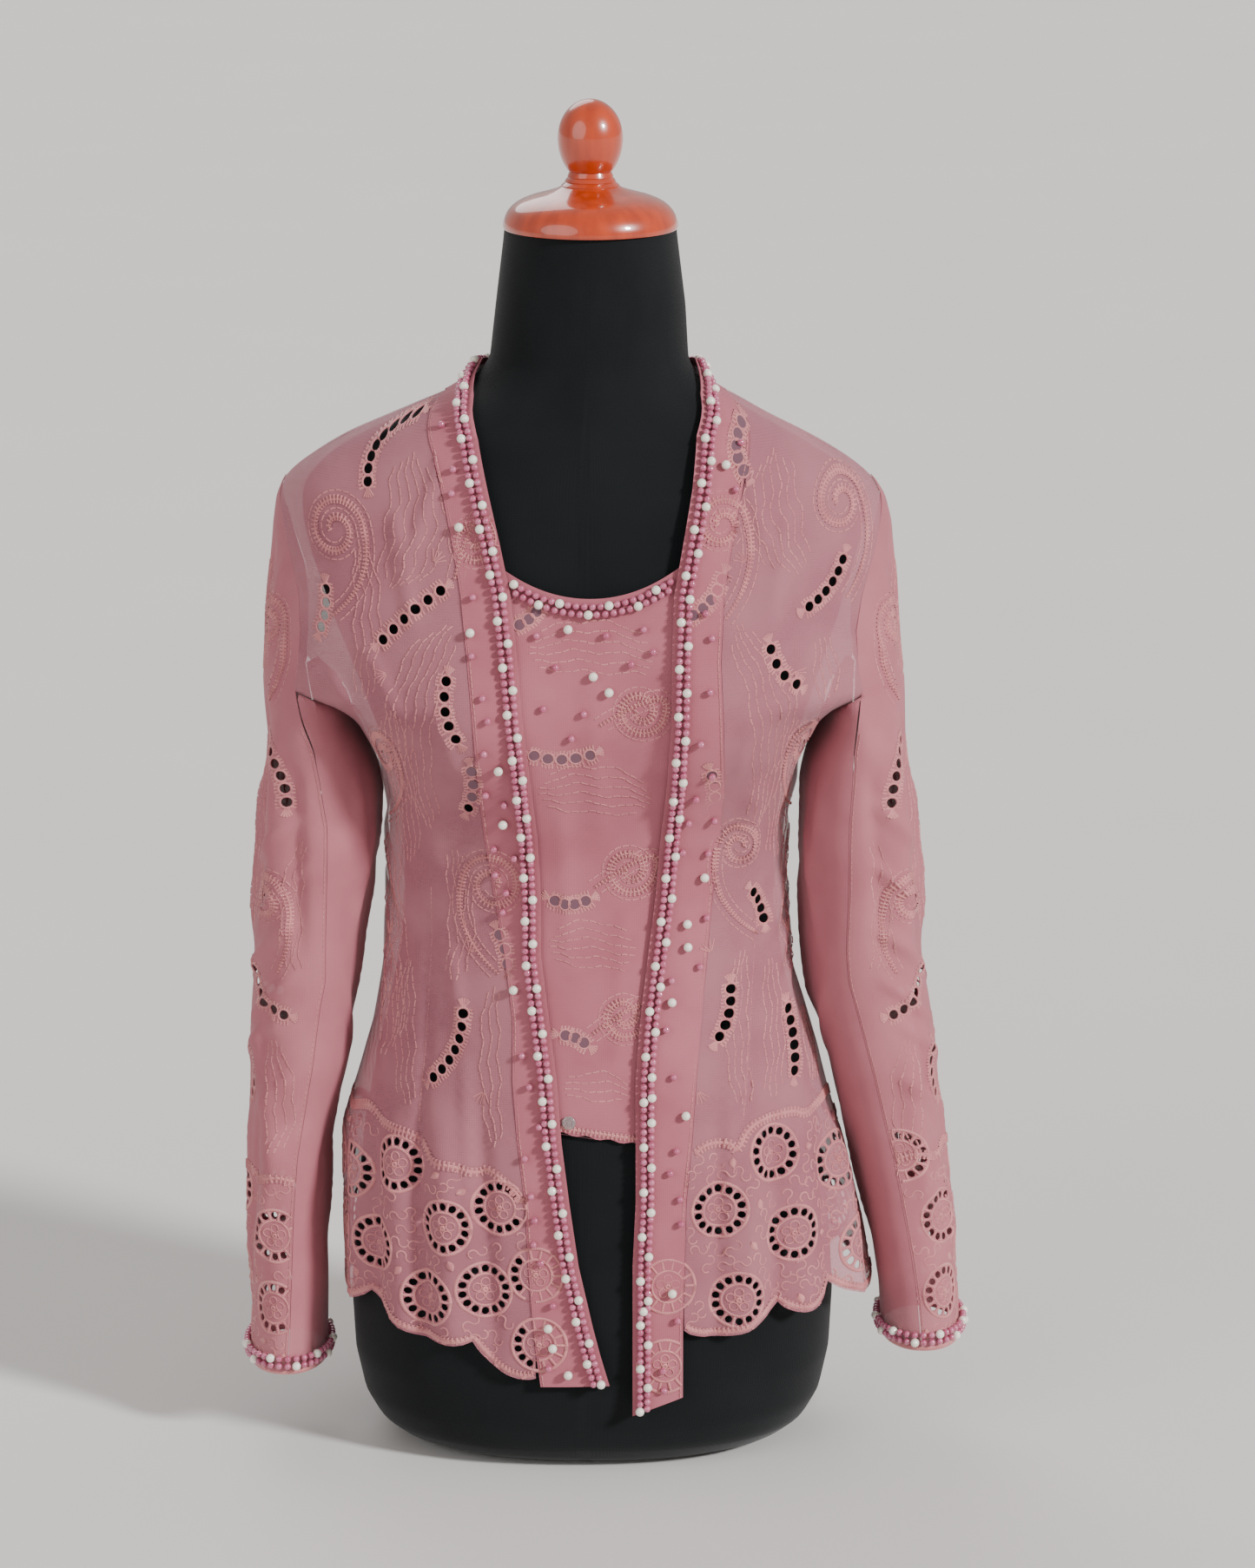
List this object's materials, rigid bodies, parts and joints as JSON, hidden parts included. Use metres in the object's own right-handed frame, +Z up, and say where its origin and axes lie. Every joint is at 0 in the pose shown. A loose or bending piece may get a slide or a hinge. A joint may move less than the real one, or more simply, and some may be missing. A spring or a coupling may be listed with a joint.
{
  "type": "kebaya blouse on a dress form",
  "caption": "Long-sleeved sheer kebaya blouse with cutwork, banded open front, scooped insert panel and pearl trim, worn on a limbless dress form with a turned neck cap.",
  "frame": {"origin": "centre of the dress form's flat base", "axes": "+Z up the form, -Y towards the front of the blouse, +X towards the wearer's left"},
  "size_m": [0.4849, 0.2467, 0.8939],
  "materials": {
    "single_voile": "sheer single voile with tone on tone stitching",
    "doubled_voile": "doubled voile",
    "pearl": "rows of pearly beads",
    "clear_plastic": "clear",
    "black_jersey": "fine stretched jersey",
    "orange_lacquer": "high gloss lacquer"
  },
  "bodies": {
    "root": {"front_right": "single_voile", "front_left": "single_voile", "back": "single_voile", "sleeve_right_outer": "single_voile", "sleeve_right_under": "single_voile", "sleeve_left_outer": "single_voile", "sleeve_left_under": "single_voile", "band_right": "doubled_voile", "band_left": "doubled_voile", "insert_panel": "doubled_voile", "pearl_trim_band_right": "pearl", "pearl_trim_band_left": "pearl", "pearl_trim_insert": "pearl", "pearl_trim_cuff_right": "pearl", "pearl_trim_cuff_left": "pearl", "snap_button": "clear_plastic", "form_torso": "black_jersey", "form_cap": "orange_lacquer", "form_knob": "orange_lacquer"}
  },
  "joints": []
}
